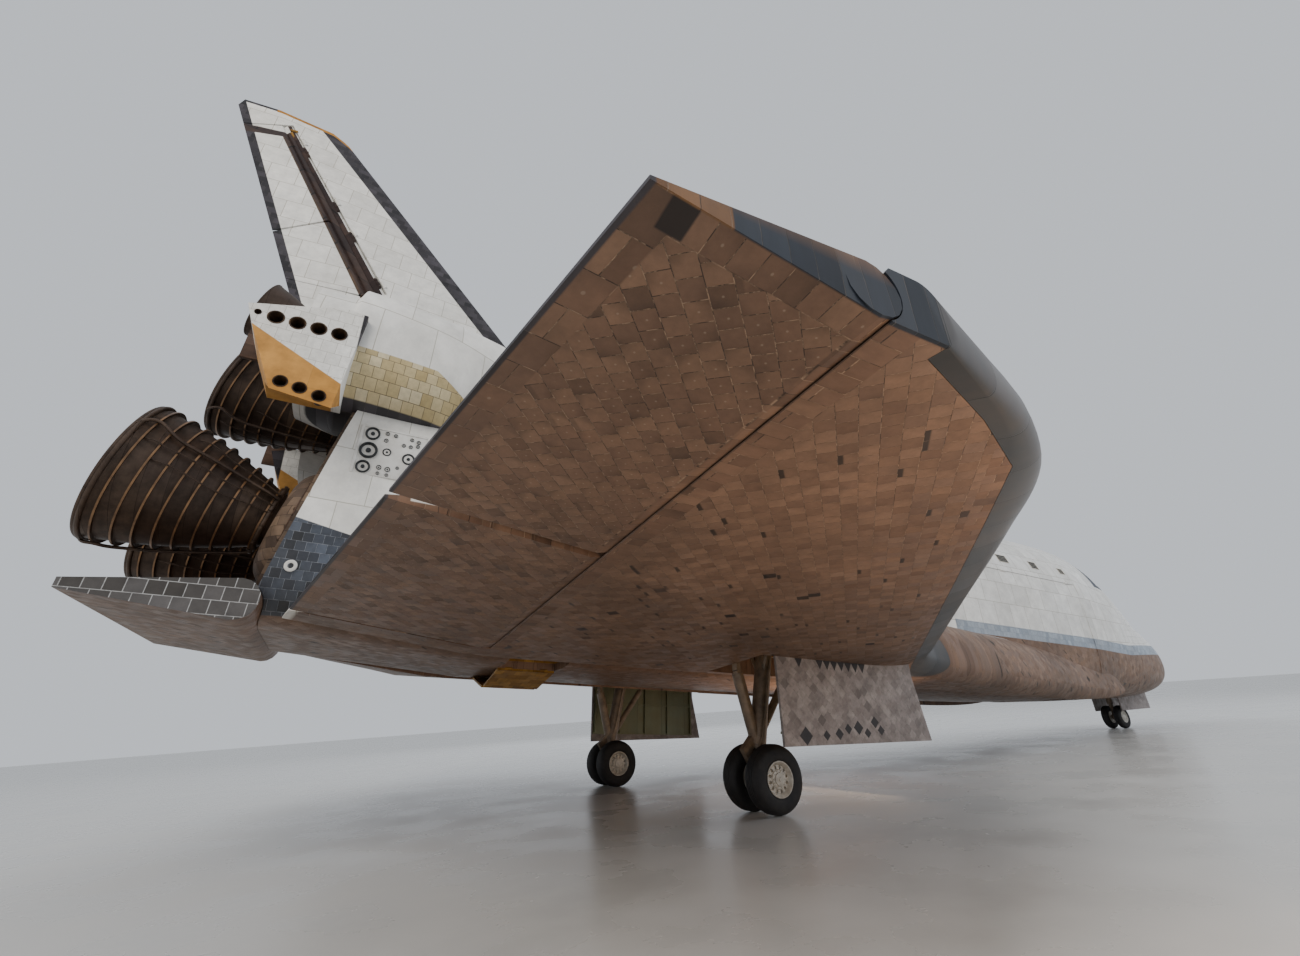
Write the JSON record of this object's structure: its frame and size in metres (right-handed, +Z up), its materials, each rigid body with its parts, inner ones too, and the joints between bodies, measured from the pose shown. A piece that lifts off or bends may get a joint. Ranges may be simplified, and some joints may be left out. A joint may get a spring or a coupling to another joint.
{
  "type": "space shuttle orbiter",
  "caption": "Winged spaceplane standing on its landing gear, with opening payload bay doors, elevons, body flap, split rudder and rocket engine bells.",
  "frame": {"origin": "on the floor, below the middle of the whole vehicle's bounding box", "axes": "+X towards the nose, +Y to the port side, +Z up"},
  "size_m": [36.067, 23.8154, 17.5807],
  "materials": {
    "white_tile": "matte",
    "black_tile": "matte",
    "carbon_edge": "satin",
    "nozzle_metal": "satin",
    "seal_metal": "satin",
    "shield_metal": "satin",
    "radiator_metal": "polished",
    "window_glass": "gloss",
    "gear_steel": "satin",
    "hub_metal": "satin",
    "tyre_rubber": "matte"
  },
  "bodies": {
    "airframe": {"nose_cap": "carbon_edge", "wing_leading_edge_left": "carbon_edge", "wing_leading_edge_right": "carbon_edge", "forward_fuselage": "white_tile", "forward_thruster_module": "white_tile", "mid_fuselage": "white_tile", "aft_fuselage": "white_tile", "pod_left": "white_tile", "pod_right": "white_tile", "thruster_housing_left": "white_tile", "thruster_housing_right": "white_tile", "fin": "white_tile", "chute_housing": "white_tile", "windscreen": "window_glass", "wing_left": "black_tile", "wing_right": "black_tile", "main_gear_door_left": "black_tile", "main_gear_door_right": "black_tile", "nose_gear_door_left": "black_tile", "nose_gear_door_right": "black_tile", "base_heat_shield": "shield_metal", "main_engine_top": "nozzle_metal", "main_engine_left": "nozzle_metal", "main_engine_right": "nozzle_metal", "maneuver_nozzle_left": "nozzle_metal", "maneuver_nozzle_right": "nozzle_metal", "main_gear_leg_left": "gear_steel", "main_gear_leg_right": "gear_steel", "nose_gear_leg": "gear_steel"},
    "crew_hatch": {"crew_hatch": "white_tile"},
    "body_flap": {"body_flap": "black_tile"},
    "rudder": {"rudder_spine": "seal_metal"},
    "nose_steering": {"nose_gear_fork": "gear_steel"},
    "nose_wheels": {"nose_wheels": "hub_metal", "nose_tyre_left": "tyre_rubber", "nose_tyre_right": "tyre_rubber"},
    "payload_door_left": {"payload_door_left": "white_tile", "radiator_left": "radiator_metal"},
    "elevon_inboard_left": {"elevon_inboard_left": "black_tile"},
    "elevon_outboard_left": {"elevon_outboard_left": "black_tile"},
    "umbilical_door_left": {"umbilical_door_left": "shield_metal"},
    "speedbrake_left": {"rudder_panel_lower_left": "white_tile", "rudder_panel_upper_left": "white_tile"},
    "main_wheels_left": {"main_wheels_left": "hub_metal", "main_tyre_outer_left": "tyre_rubber", "main_tyre_inner_left": "tyre_rubber"},
    "payload_door_right": {"payload_door_right": "white_tile", "radiator_right": "radiator_metal"},
    "elevon_inboard_right": {"elevon_inboard_right": "black_tile"},
    "elevon_outboard_right": {"elevon_outboard_right": "black_tile"},
    "umbilical_door_right": {"umbilical_door_right": "shield_metal"},
    "speedbrake_right": {"rudder_panel_lower_right": "white_tile", "rudder_panel_upper_right": "white_tile"},
    "main_wheels_right": {"main_wheels_right": "hub_metal", "main_tyre_outer_right": "tyre_rubber", "main_tyre_inner_right": "tyre_rubber"}
  },
  "joints": [
    {"name": "elevon_inboard_left_hinge", "type": "hinge", "parent": "airframe", "child": "elevon_inboard_left", "pos_m": [-11.18958, 5.461, 3.46934], "axis": [0.0051, 0.9981, 0.0608], "range_deg": [-20, 35]},
    {"name": "elevon_outboard_left_hinge", "type": "hinge", "parent": "airframe", "child": "elevon_outboard_left", "pos_m": [-11.16657, 9.9568, 3.74335], "axis": [0.0051, 0.9981, 0.0608], "range_deg": [-20, 35]},
    {"name": "elevon_inboard_right_hinge", "type": "hinge", "parent": "airframe", "child": "elevon_inboard_right", "pos_m": [-11.18958, -5.461, 3.46934], "axis": [-0.0051, 0.9981, -0.0608], "range_deg": [-20, 35]},
    {"name": "elevon_outboard_right_hinge", "type": "hinge", "parent": "airframe", "child": "elevon_outboard_right", "pos_m": [-11.16657, -9.9568, 3.74335], "axis": [-0.0051, 0.9981, -0.0608], "range_deg": [-20, 35]},
    {"name": "body_flap_hinge", "type": "hinge", "parent": "airframe", "child": "body_flap", "pos_m": [-14.86517, 0, 3.71196], "axis": [0, 1, 0], "range_deg": [-22.5, 11.7]},
    {"name": "rudder_hinge", "type": "hinge", "parent": "airframe", "child": "rudder", "pos_m": [-15.16198, 0, 14.18754], "axis": [-0.5005, 0, 0.8657], "range_deg": [-27.1, 27.1]},
    {"name": "speedbrake_left_hinge", "type": "hinge", "parent": "rudder", "child": "speedbrake_left", "pos_m": [-15.16198, 0, 14.18754], "axis": [0.5005, 0, -0.8657], "range_deg": [0, 49.3]},
    {"name": "speedbrake_right_hinge", "type": "hinge", "parent": "rudder", "child": "speedbrake_right", "pos_m": [-15.16198, 0, 14.18754], "axis": [-0.5005, 0, 0.8657], "range_deg": [0, 49.3]},
    {"name": "payload_door_left_hinge", "type": "hinge", "parent": "airframe", "child": "payload_door_left", "pos_m": [0.25589, 2.62666, 5.60289], "axis": [-0.9965, 0, 0.0837], "range_deg": [0, 175.5]},
    {"name": "payload_door_right_hinge", "type": "hinge", "parent": "airframe", "child": "payload_door_right", "pos_m": [0.25589, -2.62666, 5.60289], "axis": [0.9965, 0, -0.0837], "range_deg": [0, 175.5]},
    {"name": "crew_hatch_hinge", "type": "hinge", "parent": "airframe", "child": "crew_hatch", "pos_m": [10.88937, 2.503, 2.61984], "axis": [-0.9965, 0, 0.0837], "range_deg": [0, 90]},
    {"name": "umbilical_door_left_hinge", "type": "hinge", "parent": "airframe", "child": "umbilical_door_left", "pos_m": [-9.87399, 1.1684, 2.74482], "axis": [0.9965, 0, -0.0837], "range_deg": [0, 167]},
    {"name": "umbilical_door_right_hinge", "type": "hinge", "parent": "airframe", "child": "umbilical_door_right", "pos_m": [-9.87399, -1.1684, 2.74482], "axis": [-0.9965, 0, 0.0837], "range_deg": [0, 167]},
    {"name": "main_wheels_left_spin", "type": "hinge", "parent": "airframe", "child": "main_wheels_left", "pos_m": [-5.97657, 3.4544, 0.56031], "axis": [0, 1, 0], "continuous": true},
    {"name": "main_wheels_right_spin", "type": "hinge", "parent": "airframe", "child": "main_wheels_right", "pos_m": [-5.97657, -3.4544, 0.56031], "axis": [0, 1, 0], "continuous": true},
    {"name": "nose_steering_swivel", "type": "hinge", "parent": "airframe", "child": "nose_steering", "pos_m": [14.28447, 0, 0.40292], "axis": [-0.0234, 0, 0.9997], "range_deg": [-10, 10]},
    {"name": "nose_wheels_spin", "type": "hinge", "parent": "nose_steering", "child": "nose_wheels", "pos_m": [14.28447, 0, 0.40292], "axis": [0, 1, 0], "continuous": true}
  ],
  "couplings": [
    {"joint": "speedbrake_right_hinge", "follows": "speedbrake_left_hinge", "ratio": 1}
  ]
}
